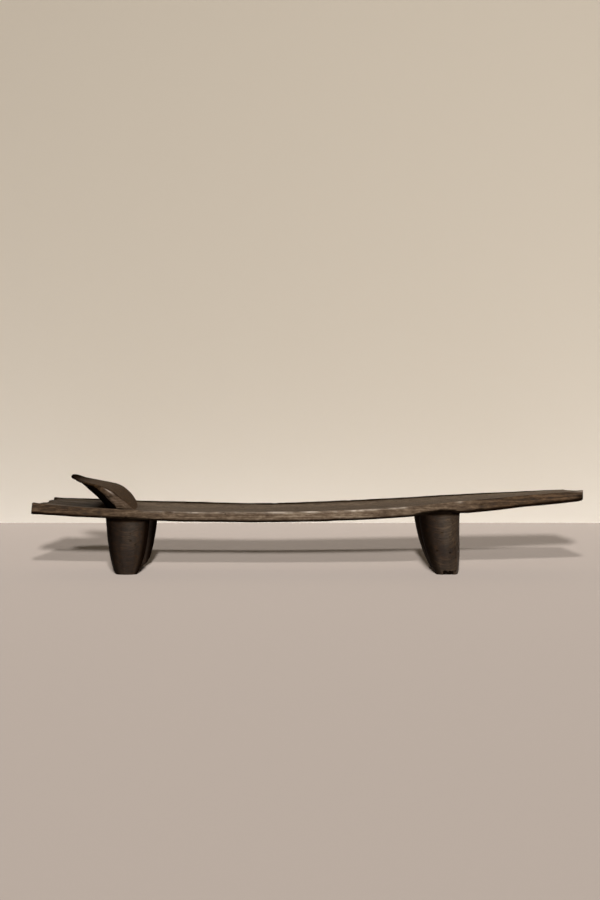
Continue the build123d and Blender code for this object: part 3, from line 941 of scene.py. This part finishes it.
def add_lamp(name, kind, place, aim, strength, colour, only=(), spared=(), **settings):
    """A lamp at a place, turned to what it lights: only some sheets of the room, or all but those spared."""
    lamp = bpy.data.lights.new(name, kind)
    lamp.energy = strength
    lamp.color = linear(colour)[:3]
    for key, value in settings.items():
        setattr(lamp, key, value)
    stand = new_object(name, lamp)
    stand.location = place
    stand.rotation_euler = (Vector(aim) - Vector(place)).to_track_quat("-Z", "Y").to_euler()
    reach = bpy.data.collections.new(name + "_reach")
    for sheet in (*only, *spared):
        reach.objects.link(sheet)
    for link, sheet in zip(reach.collection_objects, (*only, *spared)):
        link.light_linking.link_state = "INCLUDE" if sheet in only else "EXCLUDE"
    stand.light_linking.receiver_collection = reach
    return lamp


def make_light(floor, wall):
    """A dim room, a soft window at the front right, a weak fill from the left, a panel above and one
    behind. Two small lamps out in front, one high and one low, draw the bed's long shadows on the floor."""
    world = bpy.data.worlds.new("dim_room")
    world.use_nodes = True
    background = world.node_tree.nodes["Background"].inputs
    background["Color"].default_value = linear("#efe6d8")
    background["Strength"].default_value = 0.09
    bpy.context.scene.world = world
    warm, cool = "#fff6ea", "#ecf0fb"
    add_lamp("window", "AREA", (4.6, -7.8, 2.2), BED_MIDDLE, 680, warm, spared=[floor],
             shape="RECTANGLE", size=1.8, size_y=2.2)
    add_lamp("fill", "AREA", (-1.5, -8.5, 1.6), BED_MIDDLE, 60, warm, spared=[floor], size=2.0)
    add_lamp("ceiling_panel", "AREA", (0, -1.0, 5.0), (0, -0.5, 0), 130, warm, spared=[floor, wall], size=5.0)
    add_lamp("back_panel", "AREA", (-3.8, 3.4, 2.8), BED_MIDDLE, 110, warm, spared=[floor, wall], size=1.6)
    for name, place, strength in FLOOR_LAMPS:
        light_evenly(add_lamp(name, "POINT", place, BED_MIDDLE, strength, cool, only=[floor],
                              shadow_soft_size=0.12))


def make_camera():
    """Stands at the height of a low tripod, nearly level, straight in front of the bed."""
    camera = new_object("camera", bpy.data.cameras.new("camera"))
    camera.data.lens = 80
    camera.data.sensor_width = 36
    camera.location = CAMERA_PLACE
    camera.rotation_euler = (math.radians(90 - CAMERA_DIP), 0, 0)
    bpy.context.scene.camera = camera


def add_to_bed(piece, node):
    """Puts a finished piece on the bed in place of its plain solid."""
    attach(piece, "root")
    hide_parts(node)


make_camera()
room_floor, room_wall = make_room()
make_light(room_floor, room_wall)

# The rubbed colours are pale wear and painted highlights; the headrest's is only its painted highlight
deck_wood = patina_wood(
    "hewn_deck_hardwood", brown=("#21160c", "#3a2a19", "#574330"), bleached=("#483829", "#68594a", "#8a7e6e"),
    rubbed_and_highlight="#d6cdc2", roughness=0.72, gloss=0.25, relief=0.9, mottle=0.5)
headrest_wood = patina_wood(
    "handled_headrest_hardwood", brown=("#1a1006", "#352411", "#513a21"),
    bleached=("#342a20", "#493d32", "#62554a"), rubbed_and_highlight="#a39a93", roughness=0.86, gloss=0.10, relief=0.5,
    mottle=0.52, grain_across=(6, 60))
# On the legs, the grey-brown tones draw the painted sheen
leg_wood = patina_wood(
    "blackened_leg_hardwood", brown=("#120902", "#1e1105", "#2e1d0b"),
    bleached=("#2a2016", "#3b3024", "#504335"), rubbed_and_highlight="#7c6c5c", roughness=0.60, gloss=0.30, relief=0.35,
    mottle=0.45, grain_across=(12, 14))

add_to_bed(make_deck(deck_wood), "bed_plank")
add_to_bed(make_headrest(headrest_wood), "headrest")
for number, (name, sizes) in enumerate(LEGS.items()):
    add_to_bed(make_leg(name, *sizes, seed=2.0 + number, finish=leg_wood), name)

bpy.context.scene.view_settings.view_transform = "Standard"
